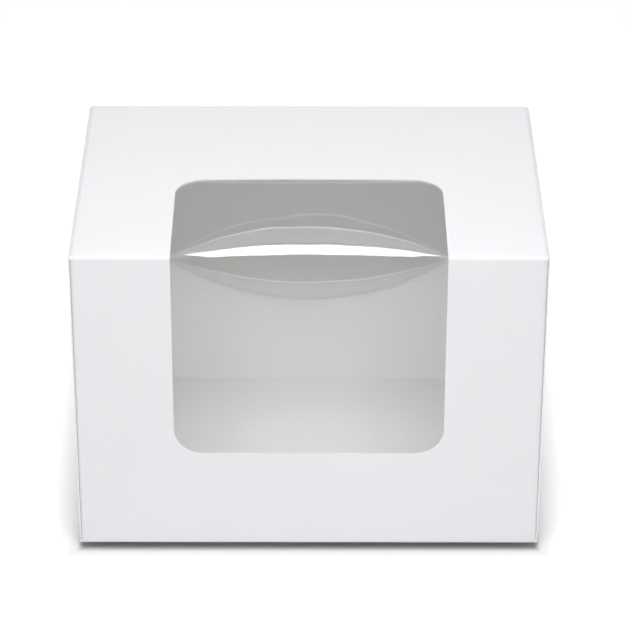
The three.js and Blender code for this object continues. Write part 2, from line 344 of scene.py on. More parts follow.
def cut_blank(outline, holes, columns, rows):
    """Cuts a flat blank into triangles. Every column and row is kept as a line of edges."""
    scaled = [[(u * SHEET_SCALE, v * SHEET_SCALE) for u, v in loop] for loop in [outline, *holes]]
    points, edges = [], []
    for loop in scaled:
        first = len(points)
        points += loop
        edges += [(first + i, first + (i + 1) % len(loop)) for i in range(len(loop))]
    first, width = len(points), len(columns)
    points += [(u * SHEET_SCALE, v * SHEET_SCALE) for v in rows for u in columns]
    for r in range(len(rows)):
        for c in range(width):
            here = first + r * width + c
            if c + 1 < width:
                edges.append((here, here + 1))
            if r + 1 < len(rows):
                edges.append((here, here + width))
    found = delaunay_2d_cdt([Vector(p) for p in points], edges, [], 0, GRID_SNAP)
    flat, faces = [tuple(p) for p in found[0]], []
    for face in found[2]:
        middle = tuple(sum(flat[i][k] for i in face) / len(face) for k in (0, 1))
        if inside(middle, scaled[0]) and not any(inside(middle, hole) for hole in scaled[1:]):
            faces.append(tuple(face))
    used = sorted({i for face in faces for i in face})
    number = {old: new for new, old in enumerate(used)}
    kept = [(flat[i][0] / SHEET_SCALE, flat[i][1] / SHEET_SCALE) for i in used]
    return kept, [tuple(number[i] for i in face) for face in faces]


def fold_sheet(name, flat, faces, fold, materials):
    """Folds a cut blank into a closed sheet: coated outside, inside skin and cut edges.

    fold turns a flat point into its outer point, outward normal, thickness and level of painted
    crease shade.
    """
    folded = [fold(u, v) for u, v in flat]
    count = len(flat)
    outer = [point for point, _, _, _ in folded]
    inner = [point - normal * thick for point, normal, thick, _ in folded]
    skin, rim = [], {}
    for a, b, c in faces:
        turn = (outer[b] - outer[a]).cross(outer[c] - outer[a])
        facing = folded[a][1] + folded[b][1] + folded[c][1]
        skin.append((a, b, c) if turn.dot(facing) > 0 else (a, c, b))
    for face in skin:
        for a, b in zip(face, face[1:] + face[:1]):
            if rim.pop((b, a), None) is None:
                rim[(a, b)] = True
    reverse = [(a + count, c + count, b + count) for a, b, c in skin]
    edge = [(a, a + count, b + count, b) for a, b in rim]

    mesh = bpy.data.meshes.new(name)
    mesh.from_pydata(outer + inner, [], skin + reverse + edge)
    for material in materials:
        mesh.materials.append(material)
    slots = [0] * len(skin) + [1] * len(reverse) + [2] * len(edge)
    mesh.polygons.foreach_set("material_index", slots)
    mesh.polygons.foreach_set("use_smooth", [True] * len(slots))
    layer = mesh.uv_layers.new(name="UVMap")
    places = []
    for loop in mesh.loops:
        u, v = flat[loop.vertex_index % count]
        places += [u, v]
    layer.data.foreach_set("uv", places)
    # The crease level carries painted shade: the board's colour darkens along the creases
    crease = mesh.attributes.new("crease", "FLOAT", "POINT")
    crease.data.foreach_set("value", [crease_shade_level for _, _, _, crease_shade_level in folded] * 2)
    mesh.validate()
    mesh.set_sharp_from_angle(angle=BOARD_SHARP_ANGLE)
    mesh.update()
    piece = bpy.data.objects.new(name, mesh)
    bpy.context.scene.collection.objects.link(piece)
    return piece


def score_bead(distance, height):
    """Extra thickness of the bead that a score raises inside a crease."""
    return height * max(0.0, 1 - (distance / BEAD_REACH) ** 2)


def painted_crease_shade(distance):
    """Painted shade of a crease in the colour, from 1 at its middle to 0."""
    return max(0.0, 1 - distance / CREASE_SHADE_REACH)


# Shader groups


def new_group(name, inputs, outputs):
    """An empty shader node group with named sockets."""
    group = bpy.data.node_groups.new(name, "ShaderNodeTree")
    for label, kind, value in inputs:
        socket = group.interface.new_socket(label, in_out="INPUT", socket_type=kind)
        if value is not None:
            socket.default_value = value
    for label, kind in outputs:
        group.interface.new_socket(label, in_out="OUTPUT", socket_type=kind)
    entry = group.nodes.new("NodeGroupInput")
    leave = group.nodes.new("NodeGroupOutput")
    return group, entry, leave


def join_nodes(tree, *pairs):
    """Links pairs of sockets."""
    for source, target in pairs:
        tree.links.new(source, target)


def math_node(tree, operation, first, second, clamp=False):
    """A Math node whose inputs are sockets or numbers."""
    node = tree.nodes.new("ShaderNodeMath")
    node.operation = operation
    node.use_clamp = clamp
    for slot, value in ((0, first), (1, second)):
        if isinstance(value, (int, float)):
            node.inputs[slot].default_value = value
        else:
            tree.links.new(value, node.inputs[slot])
    return node.outputs[0]


def noise_node(tree, vector, scale, detail):
    """A noise value. Its scale is a socket or a number."""
    node = tree.nodes.new("ShaderNodeTexNoise")
    node.inputs["Detail"].default_value = detail
    tree.links.new(vector, node.inputs["Vector"])
    if isinstance(scale, (int, float)):
        node.inputs["Scale"].default_value = scale
    else:
        tree.links.new(scale, node.inputs["Scale"])
    return node.outputs["Fac"]


def board_grain_group():
    """Cloudy formation and fine tooth of paperboard, as values round zero."""
    group, entry, leave = new_group(
        "Board grain",
        [
            ("Vector", "NodeSocketVector", None),
            ("Cloud Scale", "NodeSocketFloat", 45.0),
            ("Fleck Scale", "NodeSocketFloat", 900.0),
            ("Tooth Scale", "NodeSocketFloat", 3200.0),
        ],
        [
            ("Cloud", "NodeSocketFloat"),
            ("Fleck", "NodeSocketFloat"),
            ("Tooth", "NodeSocketFloat"),
        ],
    )
    for label, detail in (("Cloud", 3.0), ("Fleck", 4.0), ("Tooth", 3.0)):
        value = noise_node(group, entry.outputs["Vector"], entry.outputs[f"{label} Scale"], detail)
        centred = math_node(group, "SUBTRACT", value, 0.5)
        group.links.new(centred, leave.inputs[label])
    return group


def tinted(tree, colour, shade):
    """A colour made lighter or darker by a value round zero."""
    mix = tree.nodes.new("ShaderNodeMix")
    mix.data_type = "RGBA"
    mix.blend_type = "MULTIPLY"
    mix.inputs["Factor"].default_value = 1.0
    mix.inputs[6].default_value = (*colour, 1.0)
    level = math_node(tree, "ADD", shade, 1.0)
    grey = tree.nodes.new("ShaderNodeCombineColor")
    for channel in range(3):
        tree.links.new(level, grey.inputs[channel])
    tree.links.new(grey.outputs[0], mix.inputs[7])
    return mix.outputs[2]


def board_material(name, grain, colour):
    """Paperboard: its colour with clouds, flecks and painted shade in the creases, and its tooth
    as a bump.
    """
    roughness, cloud, fleck, tooth, painted_crease_darkening, translucency = BOARD_FINISHES[name]
    material = bpy.data.materials.new(name)
    material.use_nodes = True
    tree = material.node_tree
    shader = tree.nodes["Principled BSDF"]
    uv = tree.nodes.new("ShaderNodeUVMap")
    uv.uv_map = "UVMap"
    group = tree.nodes.new("ShaderNodeGroup")
    group.node_tree = grain
    tree.links.new(uv.outputs[0], group.inputs["Vector"])
    shaded_creases = tree.nodes.new("ShaderNodeAttribute")
    shaded_creases.attribute_name = "crease"
    clouds = math_node(tree, "MULTIPLY", group.outputs["Cloud"], cloud)
    flecks = math_node(tree, "MULTIPLY", group.outputs["Fleck"], fleck)
    # Painted shade: the colour darkens along the creases, inside and out
    crease_shading = math_node(tree, "MULTIPLY", shaded_creases.outputs["Fac"], -painted_crease_darkening)
    shade = math_node(tree, "ADD", math_node(tree, "ADD", clouds, flecks), crease_shading)
    tree.links.new(tinted(tree, colour, shade), shader.inputs["Base Color"])
    dulled = math_node(tree, "MULTIPLY", group.outputs["Fleck"], FLECK_DULLING)
    tree.links.new(math_node(tree, "ADD", dulled, roughness), shader.inputs["Roughness"])
    bump = tree.nodes.new("ShaderNodeBump")
    bump.inputs["Strength"].default_value = tooth
    bump.inputs["Distance"].default_value = TOOTH_DEPTH
    tree.links.new(group.outputs["Tooth"], bump.inputs["Height"])
    tree.links.new(bump.outputs[0], shader.inputs["Normal"])
    shader.inputs["Specular IOR Level"].default_value = 0.5
    shader.inputs["Subsurface Weight"].default_value = translucency
    shader.inputs["Subsurface Radius"].default_value = (1.0, 1.0, 1.0)
    shader.inputs["Subsurface Scale"].default_value = SCATTER_DEPTH
    return material


# Settings


def length(name, description, default):
    """A length setting, in metres."""
    return FloatProperty(
        name=name,
        description=description,
        default=default,
        min=0.0,
        max=0.5,
        precision=5,
        unit="LENGTH",
        subtype="DISTANCE",
    )


def colour(name, description, default):
    """A colour setting."""
    return FloatVectorProperty(
        name=name, description=description, default=default, size=3, min=0, max=1, subtype="COLOR"
    )


class BoardSettings(bpy.types.PropertyGroup):
    """Paperboard that the carton and its end flaps are cut from."""

    outside: colour("Outside", "Colour of the coated side", (0.885, 0.885, 0.92))
    inside: colour("Inside", "Colour of the uncoated side", (0.95, 0.935, 0.925))
    cut_edge: colour("Cut edge", "Colour of the cut edges", (0.97, 0.97, 0.965))
    bead: length("Score bead", "How far a score stands up inside its crease", 0.25 * MM)


class CartonSettings(bpy.types.PropertyGroup):
    """The carton's blank."""

    window_width: length("Window width", "Width of the window", 80.6 * MM)
    window_back: length("Window back", "Reach of the window over the top", 49.3 * MM)
    window_down: length("Window down", "Reach of the window down the front", 66.9 * MM)
    window_corner: length("Window corner", "Radius of the window's corners", 8.5 * MM)
    fold_spring: length("Fold spring", "How far the top swells behind the fold", 0.3 * MM)
    lip_rise: length("Lip rise", "How far the window's back edge rises in the middle", 0.45 * MM)
    cockle: length("Cockle", "Height of the slight waves in the panels", 0.06 * MM)


class EndFlapSettings(bpy.types.PropertyGroup):
    """The two end flaps and their tuck tabs."""

    tab_length: length("Tab length", "Length of the tuck tab", 15 * MM)
    tab_corner: length("Tab corner", "Radius of the tuck tab's corners", 10 * MM)


class FilmSettings(bpy.types.PropertyGroup):
    """The clear film behind the window."""

    thickness: length("Thickness", "Thickness of the film", 0.15 * MM)
    margin: length("Margin", "Glued margin round the window", 9 * MM)
    bend_back: length("Bend back", "How far the film springs off the top", 31 * MM)
    bend_down: length("Bend down", "How far the film springs off the front", 18.5 * MM)
    bend_at_seam: length("Bend at the seam", "The same where the film is glued down", 2 * MM)
    ripple: length("Ripple", "Height of the ripples in the bend", 0.14 * MM)
    seed: IntProperty(name="Seed", description="Place of the ripples", default=4, min=0)
    tint: colour("Tint", "Colour of the film", (0.985, 0.99, 0.985))


class StageSettings(bpy.types.PropertyGroup):
    """Floor, lamps and surroundings."""

    floor: colour("Floor", "Colour of the floor", (0.87, 0.87, 0.875))
    overhead_power: FloatProperty(
        name="Overhead lamp", description="Power of the overhead lamp", default=8.5, unit="POWER"
    )
    key_power: FloatProperty(
        name="Key lamp", description="Power of the lamp in front", default=2.1, unit="POWER"
    )


# Carton


def board_materials():
    """The three faces of the paperboard, made once."""
    if "Coated board" in bpy.data.materials:
        return [bpy.data.materials[name] for name in BOARD_FINISHES]
    settings = bpy.context.scene.cookie_box_board
    grain = board_grain_group()
    colours = (settings.outside, settings.inside, settings.cut_edge)
    return [board_material(name, grain, tint) for name, tint in zip(BOARD_FINISHES, colours)]


class PanelShape:
    """How the carton's panels swell and wave between their creases."""

    def __init__(self, tube, settings):
        self.marks = tube.marks
        self.settings = settings
        self.lip_v = tube.marks["top"][1] - (settings.window_back - CREASE)

    def offset(self, u, v):
        """How far a panel stands off its flat place."""
        s, marks = self.settings, self.marks
        away = 0.0
        for name in ("top", "front", "back"):
            start, finish = marks[name]
            if start <= v <= finish and abs(u) < DUST_CREASE_X:
                near = min(v - start, finish - v, DUST_CREASE_X - abs(u))
                calm = 1 - math.exp(-near / CALM_REACH)
                wave = noise.noise(Vector((u * WAVE_SCALE, v * WAVE_SCALE, 0.3)))
                away += s.cockle * calm * wave
        start, finish = marks["top"]
        if start <= v <= finish:
            edge = min(1.0, max(0.0, HINGE_CREASE_X - abs(u)) / SPRING_EDGE)
            back = (finish - v) / SPRING_REACH
            away += s.fold_spring * edge * back * math.exp(1 - back)
            middle = max(0.0, 1 - (u / (s.window_width / 2)) ** 2)
            away += s.lip_rise * middle * math.exp(-abs(v - self.lip_v) / LIP_REACH)
        return away


class CARTON_OT_fold(bpy.types.Operator):
    """Cut the carton's blank with its window and fold it into panels, lap and dust flaps"""

    bl_idname = "cookie_box.fold_carton"
    bl_label = "Fold the carton"

    def execute(self, context):
        settings = context.scene.cookie_box_carton
        bead = context.scene.cookie_box_board.bead
        tube = FoldedTube()
        half = settings.window_width / 2
        right = carton_outline(tube)
        outline = [*right, *[(-u, v) for u, v in right[::-1]]]
        window = window_outline(
            tube, half, settings.window_back, settings.window_down, settings.window_corner
        )
        columns = self.columns(half)
        rows = self.rows(tube)
        flat, faces = cut_blank(outline, [window], columns, rows)
        shape = PanelShape(tube, settings)
        creases = [sum(tube.marks[name]) / 2 for name in TUBE_CREASES]
        dust_mid = DUST_CREASE_X + CREASE * QUARTER / 2

        def fold(u, v):
            y, z, ny, nz = tube.place(v)
            across = math.copysign(1.0, u)
            beyond = abs(u) - DUST_CREASE_X
            near = min(abs(v - middle) for middle in creases)
            panel = self.dust_panel(tube, v)
            if panel and beyond > -1.5 * MM:
                near = min(near, abs(abs(u) - dust_mid))
            # Painted shade in the colour, strongest in the middle of the nearest crease
            thick, crease_shade_level = BOARD + score_bead(near, bead), painted_crease_shade(near)
            if panel and beyond > 0:
                angle = min(beyond / CREASE, QUARTER)
                reach = max(0.0, beyond - CREASE * QUARTER)
                x = across * (DUST_CREASE_X + CREASE * math.sin(angle))
                step = CREASE * (1 - math.cos(angle)) + reach
                normal = Vector((across * math.sin(angle), ny * math.cos(angle), 0))
                return Vector((x, y - ny * step, z)), normal, thick, crease_shade_level
            normal = Vector((0, ny, nz))
            away = shape.offset(u, v)
            return Vector((u, y, z)) + normal * away, normal, thick, crease_shade_level

        piece = fold_sheet("carton_sheet", flat, faces, fold, board_materials())
        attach(piece, "carton")
        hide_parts("carton_body")
        return {"FINISHED"}

    @staticmethod
    def dust_panel(tube, v):
        """The panel that carries a dust flap at this place along the path, if any."""
        for name in ("front", "back"):
            start, finish = tube.marks[name]
            if start + 1e-7 < v < finish - 1e-7:
                return name
        return None

    @staticmethod
    def columns(half):
        """Places across the blank that keep a line of edges."""
        bend = CREASE * QUARTER
        right = [
            *spread(0.0, half, PANEL_STEP),
            *spread(half, DUST_CREASE_X - 0.4 * MM, PANEL_STEP)[1:],
            *spread(DUST_CREASE_X, DUST_CREASE_X + bend, bend / CREASE_STEPS),
            DUST_CREASE_X + bend + 0.4 * MM,
            *spread(DUST_CREASE_X + bend + 4 * MM, DUST_CREASE_X + 36 * MM, 1.5 * PANEL_STEP),
        ]
        return [*[-u for u in right[:0:-1]], *right]

    @staticmethod
    def rows(tube):
        """Places along the blank that keep a line of edges."""
        found = []
        for name, (start, finish) in tube.marks.items():
            if name in TUBE_CREASES:
                found += spread(start, finish, (finish - start) / CREASE_STEPS)
            else:
                found += [start + 0.3 * MM]
                found += spread(start + 1.5 * MM, finish - 1.5 * MM, PANEL_STEP)
                found += [finish - 0.3 * MM]
        return sorted({0.0, *found, tube.end})


# End flaps


def flap_path(y, tab_length):
    """Lengths and places of an end flap's path at one depth: crease, panel, crease and tab."""
    lift = bottom_lift(y)
    tab_radius = HINGE_Z - lift - BOARD - TAB_GAP
    offset = HINGE_CREASE_X - HINGE_X
    crease_z = HINGE_Z - math.sqrt((tab_radius - CREASE) ** 2 - offset**2)
    turn = math.atan2(crease_z - HINGE_Z, offset)
    return {
        "tab_radius": tab_radius,
        "crease_z": crease_z,
        "turn": turn,
        "lengths": [CREASE * QUARTER, TOP_FOLD_Z - crease_z, CREASE * -turn, tab_length],
    }


class CARTON_OT_end_flaps(bpy.types.Operator):
    """Cut and fold the two end flaps with their tuck tabs, and bend them at the hinge crease"""

    bl_idname = "cookie_box.fold_end_flaps"
    bl_label = "Fold the end flaps"

    def execute(self, context):
        for side, body in ((-1, "left_flap"), (1, "right_flap")):
            self.flap(context, side, body)
        return {"FINISHED"}

    def flap(self, context, side, body):
        """One end flap: side is -1 for the left and 1 for the right."""
        settings = context.scene.cookie_box_end_flaps
        bead = context.scene.cookie_box_board.bead
        level = flap_path(0.0, settings.tab_length)
        stops = [0.0]
        for part in level["lengths"]:
            stops.append(stops[-1] + part)
        radius, end = settings.tab_corner, stops[-1]
        outline = [
            (0.0, FLAP_FRONT_Y),
            *corner((end - radius, FLAP_FRONT_Y + radius), radius, -QUARTER, 0),
            *corner((end - radius, FLAP_BACK_Y - radius), radius, 0, QUARTER),
            (0.0, FLAP_BACK_Y),
        ]
        columns = [
            *spread(stops[0], stops[1], CREASE * QUARTER / CREASE_STEPS),
            stops[1] + 0.3 * MM,
            *spread(stops[1] + 2 * MM, stops[2] - 2 * MM, PANEL_STEP),
            stops[2] - 0.3 * MM,
            *spread(stops[2], stops[3], CREASE * QUARTER / CREASE_STEPS),
            stops[3] + 0.3 * MM,
            *spread(stops[3] + 2 * MM, stops[4], 0.5 * PANEL_STEP),
        ]
        rows = spread(FLAP_FRONT_Y, FLAP_BACK_Y, PANEL_STEP)
        flat, faces = cut_blank(outline, [], columns, rows)
        hinge_mid, lower_mid = stops[1] / 2, (stops[2] + stops[3]) / 2

        def fold(p, y):
            here = flap_path(y, settings.tab_length)
            near = min(abs(p - hinge_mid), abs(p - lower_mid))
            # Painted shade in the colour, strongest in the middle of the nearest crease
            thick, crease_shade_level = BOARD + score_bead(near, bead * FLAP_BEAD_SHARE), painted_crease_shade(near)
            part = next((i for i in range(4) if p <= stops[i + 1]), 3)
            share = (p - stops[part]) / (stops[part + 1] - stops[part])
            if part == 0:
                angle = QUARTER * (1 - share)
                x = HINGE_CREASE_X + CREASE * math.cos(angle)
                z = TOP_FOLD_Z + CREASE * math.sin(angle)
            elif part == 1:
                angle = 0.0
                x, z = SIDE_X, TOP_FOLD_Z + (here["crease_z"] - TOP_FOLD_Z) * share
            elif part == 2:
                angle = here["turn"] * share
                x = HINGE_CREASE_X + CREASE * math.cos(angle)
                z = here["crease_z"] + CREASE * math.sin(angle)
            else:
                angle = here["turn"] - share * settings.tab_length / here["tab_radius"]
                x = HINGE_X + here["tab_radius"] * math.cos(angle)
                z = HINGE_Z + here["tab_radius"] * math.sin(angle)
            normal = Vector((side * math.cos(angle), 0, math.sin(angle)))
            return Vector((side * x, y, z)), normal, thick, crease_shade_level

        name = "left_flap_sheet" if side < 0 else "right_flap_sheet"
        piece = fold_sheet(name, flat, faces, fold, board_materials())
        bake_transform(piece)
        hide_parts("left_end_flap" if side < 0 else "right_end_flap")


# Window film


def film_tree():
    """Node tree that bends a flat grid over the fold, ripples it and gives it its thickness."""
    tree = bpy.data.node_groups.new("Window film", "GeometryNodeTree")
    face = tree.interface
    face.new_socket("Geometry", in_out="INPUT", socket_type="NodeSocketGeometry")
    for label in (
        "Half Width",
        "Window Half Width",
        "Back End",
        "Lower End",
        "Top",
        "Front",
        "Carton Height",
        "Carton Front",
        "Bend Back",
        "Bend Down",
        "Bend At Seam",
        "Ripple",
        "Thickness",
    ):
        face.new_socket(label, in_out="INPUT", socket_type="NodeSocketFloat")
    face.new_socket("Seed", in_out="INPUT", socket_type="NodeSocketInt")
    face.new_socket("Film", in_out="INPUT", socket_type="NodeSocketMaterial")
    face.new_socket("Geometry", in_out="OUTPUT", socket_type="NodeSocketGeometry")
    nodes, links = tree.nodes, tree.links
    entry, leave = nodes.new("NodeGroupInput"), nodes.new("NodeGroupOutput")
    given = entry.outputs

    def calc(operation, first, second=0.0, clamp=False):
        return math_node(tree, operation, first, second, clamp)

    def blend(start, finish, share):
        return calc("ADD", start, calc("MULTIPLY", calc("SUBTRACT", finish, start), share))

    grid = nodes.new("GeometryNodeMeshGrid")
    grid.inputs["Size X"].default_value = 2.0
    grid.inputs["Size Y"].default_value = 3.0
    grid.inputs["Vertices X"].default_value = FILM_COLUMNS
    grid.inputs["Vertices Y"].default_value = FILM_ROWS
    place = nodes.new("GeometryNodeInputPosition")
    apart = nodes.new("ShaderNodeSeparateXYZ")
    links.new(place.outputs[0], apart.inputs[0])
    x = calc("MULTIPLY", apart.outputs[0], given["Half Width"])
    along = calc("ADD", apart.outputs[1], 1.5)
    on_top = calc("MINIMUM", along, 1.0)
    bend = calc("SUBTRACT", along, 1.0, clamp=True)
    down = calc("SUBTRACT", along, 2.0, clamp=True)

    share = calc("DIVIDE", x, given["Window Half Width"])
    spring = calc("MAXIMUM", calc("SUBTRACT", 1.0, calc("MULTIPLY", share, share)), 0.0)
    back = blend(given["Bend At Seam"], given["Bend Back"], spring)
    drop = blend(given["Bend At Seam"], given["Bend Down"], spring)
    start_y = calc("ADD", given["Carton Front"], back)
    end_z = calc("SUBTRACT", given["Carton Height"], drop)
    left = calc("SUBTRACT", 1.0, bend)
    bent_y = blend(given["Front"], start_y, calc("MULTIPLY", left, left))
    bent_z = blend(given["Top"], end_z, calc("MULTIPLY", bend, bend))
    on_back = calc("SUBTRACT", given["Back End"], start_y)
    y = calc("ADD", bent_y, calc("MULTIPLY", calc("SUBTRACT", 1.0, on_top), on_back))
    fall = calc("SUBTRACT", given["Lower End"], end_z)
    z = calc("ADD", bent_z, calc("MULTIPLY", down, fall))
    where = nodes.new("ShaderNodeCombineXYZ")
    for slot, value in enumerate((x, y, z)):
        links.new(value, where.inputs[slot])
    bent = nodes.new("GeometryNodeSetPosition")
    join_nodes(
        tree,
        (grid.outputs["Mesh"], bent.inputs["Geometry"]),
        (where.outputs[0], bent.inputs["Position"]),
    )

    here = nodes.new("GeometryNodeInputPosition")
    wave = nodes.new("ShaderNodeTexNoise")
    wave.noise_dimensions = "4D"
    wave.inputs["Scale"].default_value = RIPPLE_SCALE
    wave.inputs["Detail"].default_value = 1.0
    join_nodes(tree, (here.outputs[0], wave.inputs["Vector"]), (given["Seed"], wave.inputs["W"]))
    normal = nodes.new("GeometryNodeInputNormal")
    free = calc("MULTIPLY", spring, calc("SUBTRACT", wave.outputs["Fac"], 0.5))
    height = calc("MULTIPLY", calc("MULTIPLY", free, given["Ripple"]), 2.0)
    push = nodes.new("ShaderNodeVectorMath")
    push.operation = "SCALE"
    join_nodes(tree, (normal.outputs[0], push.inputs[0]), (height, push.inputs["Scale"]))
    rippled = nodes.new("GeometryNodeSetPosition")
    join_nodes(
        tree,
        (bent.outputs[0], rippled.inputs["Geometry"]),
        (push.outputs[0], rippled.inputs["Offset"]),
    )

    thick = nodes.new("GeometryNodeExtrudeMesh")
    thick.mode = "FACES"
    thick.inputs["Individual"].default_value = False
    turned = nodes.new("GeometryNodeFlipFaces")
    joined = nodes.new("GeometryNodeJoinGeometry")
    merged = nodes.new("GeometryNodeMergeByDistance")
    merged.inputs["Distance"].default_value = 0.002 * MM
    smooth = nodes.new("GeometryNodeSetShadeSmooth")
    real = nodes.new("GeometryNodeRealizeInstances")
    skin = nodes.new("GeometryNodeSetMaterial")
    join_nodes(
        tree,
        (rippled.outputs[0], turned.inputs["Mesh"]),
        (turned.outputs[0], thick.inputs["Mesh"]),
        (given["Thickness"], thick.inputs["Offset Scale"]),
        (rippled.outputs[0], joined.inputs[0]),
        (thick.outputs["Mesh"], joined.inputs[0]),
        (joined.outputs[0], merged.inputs["Geometry"]),
        (merged.outputs[0], smooth.inputs["Geometry"]),
        (smooth.outputs[0], real.inputs["Geometry"]),
        (real.outputs[0], skin.inputs["Geometry"]),
        (given["Film"], skin.inputs["Material"]),
        (skin.outputs[0], leave.inputs[0]),
    )
    return tree


def film_material(tint):
    """Clear glossy film that lets lamps and soft light through."""
    material = bpy.data.materials.new("Clear film")
    material.use_nodes = True
    tree = material.node_tree
    shader = tree.nodes["Principled BSDF"]
    shader.inputs["Base Color"].default_value = (*tint, 1.0)
    shader.inputs["Transmission Weight"].default_value = 1.0
    shader.inputs["IOR"].default_value = FILM_IOR
    place = tree.nodes.new("ShaderNodeTexCoord")
    haze = noise_node(tree, place.outputs["Object"], HAZE_SCALE, 3.0)
    rough = math_node(tree, "ADD", math_node(tree, "MULTIPLY", haze, HAZE_SPAN), HAZE_LOW)
    tree.links.new(rough, shader.inputs["Roughness"])
    sway = noise_node(tree, place.outputs["Object"], SWAY_SCALE, 1.0)
    bump = tree.nodes.new("ShaderNodeBump")
    bump.inputs["Strength"].default_value = 1.0
    bump.inputs["Distance"].default_value = SWAY_DEPTH
    tree.links.new(sway, bump.inputs["Height"])
    tree.links.new(bump.outputs[0], shader.inputs["Normal"])
    rays = tree.nodes.new("ShaderNodeLightPath")
    passing = math_node(
        tree, "MAXIMUM", rays.outputs["Is Shadow Ray"], rays.outputs["Is Diffuse Ray"]
    )
    clear = tree.nodes.new("ShaderNodeBsdfTransparent")
    clear.inputs["Color"].default_value = FILM_CLEARNESS
    mix = tree.nodes.new("ShaderNodeMixShader")
    join_nodes(
        tree,
        (passing, mix.inputs[0]),
        (shader.outputs[0], mix.inputs[1]),
        (clear.outputs[0], mix.inputs[2]),
        (mix.outputs[0], tree.nodes["Material Output"].inputs["Surface"]),
    )
    return material


class CARTON_OT_film(bpy.types.Operator):
    """Bend the clear film over the open fold and glue it behind the window"""

    bl_idname = "cookie_box.bend_film"
    bl_label = "Bend the window film"

    def execute(self, context):
        film = context.scene.cookie_box_film
        carton = context.scene.cookie_box_carton
        tree = film_tree()
        base = bpy.data.objects.new("film_base", bpy.data.meshes.new("film_base"))
        context.scene.collection.objects.link(base)
        modifier = base.modifiers.new("Window film", "NODES")
        modifier.node_group = tree
        values = {
            "Half Width": carton.window_width / 2 + film.margin,
            "Window Half Width": carton.window_width / 2,
            "Back End": FRONT_Y + carton.window_back + film.margin,
            "Lower End": HEIGHT - carton.window_down - film.margin,
            "Top": HEIGHT - BOARD - GLUE_LINE,
            "Front": FRONT_Y + BOARD + GLUE_LINE,
            "Carton Height": HEIGHT,
            "Carton Front": FRONT_Y,
            "Bend Back": film.bend_back,
            "Bend Down": film.bend_down,
            "Bend At Seam": film.bend_at_seam,
            "Ripple": film.ripple,
            "Thickness": film.thickness,
            "Seed": film.seed,
            "Film": film_material(film.tint),
        }
        for socket in tree.interface.items_tree:
            if socket.in_out == "INPUT" and socket.name in values:
                modifier[socket.identifier] = values[socket.name]
        shaped = base.evaluated_get(context.evaluated_depsgraph_get())
        mesh = bpy.data.meshes.new_from_object(shaped)
        bpy.data.objects.remove(base)
        mesh.name = "window_film_sheet"
        mesh.set_sharp_from_angle(angle=FILM_SHARP_ANGLE)
        piece = bpy.data.objects.new("window_film_sheet", mesh)
        context.scene.collection.objects.link(piece)
        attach(piece, "carton")
        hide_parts("window_film")
        return {"FINISHED"}


# Stage

# Camera: focal length over a 36 mm sensor, place, and its turns in degrees
CAMERA_LENS = 171.84
CAMERA_PLACE = (0.0006459, -0.809314, 0.516963)
CAMERA_PITCH, CAMERA_YAW, CAMERA_ROLL = 29.768, 0.05098, 0.09766

# Lamps: middle, width and depth. The film mirrors the overhead lamp as the bright band at the
# fold, and the key lamp fills the box through the window
OVERHEAD_PLACE, OVERHEAD_SIZE = (0.0, 0.35, 1.30), (0.9, 0.40)
KEY_PLACE, KEY_SIZE = (0.0, -0.26, 0.56), (0.34, 0.34)
KEY_AIM = Vector((0.0, 0.0, 0.05))

# The pale floor glows for the eye alone, from the box's foot outwards, to a white distance. Its
# colour is darker right under the box, a painted shadow
FLOOR_REACH = 4.0
GLOW_REACH = 0.012
GLOW_FAR = 0.42
PAINTED_SHADOW_UNDER_BOX, PAINTED_SHADOW_EDGE = -0.5, 0.001

# Surroundings in front and behind: sine of the elevation, and brightness there
FRONT_GLOW = ((0.0, 0.3), (0.15, 0.72), (0.3, 0.75), (0.59, 0.5), (0.6, 2.4), (0.625, 2.4))
FRONT_DARK = ((0.63, 0.12), (1.0, 0.12))
BACK_GLOW = (
    *((0.0, 1.0), (0.17, 0.8), (0.3, 0.4), (0.52, 0.35), (0.53, 1.5), (0.54, 0.35)),
    *((0.66, 0.3), (0.67, 2.3), (0.695, 0.8), (0.86, 1.05), (0.9, 0.2)),
)
GLOW_TOP = 2.5


def glow_ramp(tree, height, stops):
    """Brightness of the surroundings by elevation."""
    ramp = tree.nodes.new("ShaderNodeValToRGB")
    elements = ramp.color_ramp.elements
    while len(elements) < len(stops):
        elements.new(0.5)
    for element, (position, value) in zip(elements, stops):
        element.position = position
        level = value / GLOW_TOP
        element.color = (level, level, level, 1.0)
    tree.links.new(height, ramp.inputs["Fac"])
    return ramp.outputs["Color"]


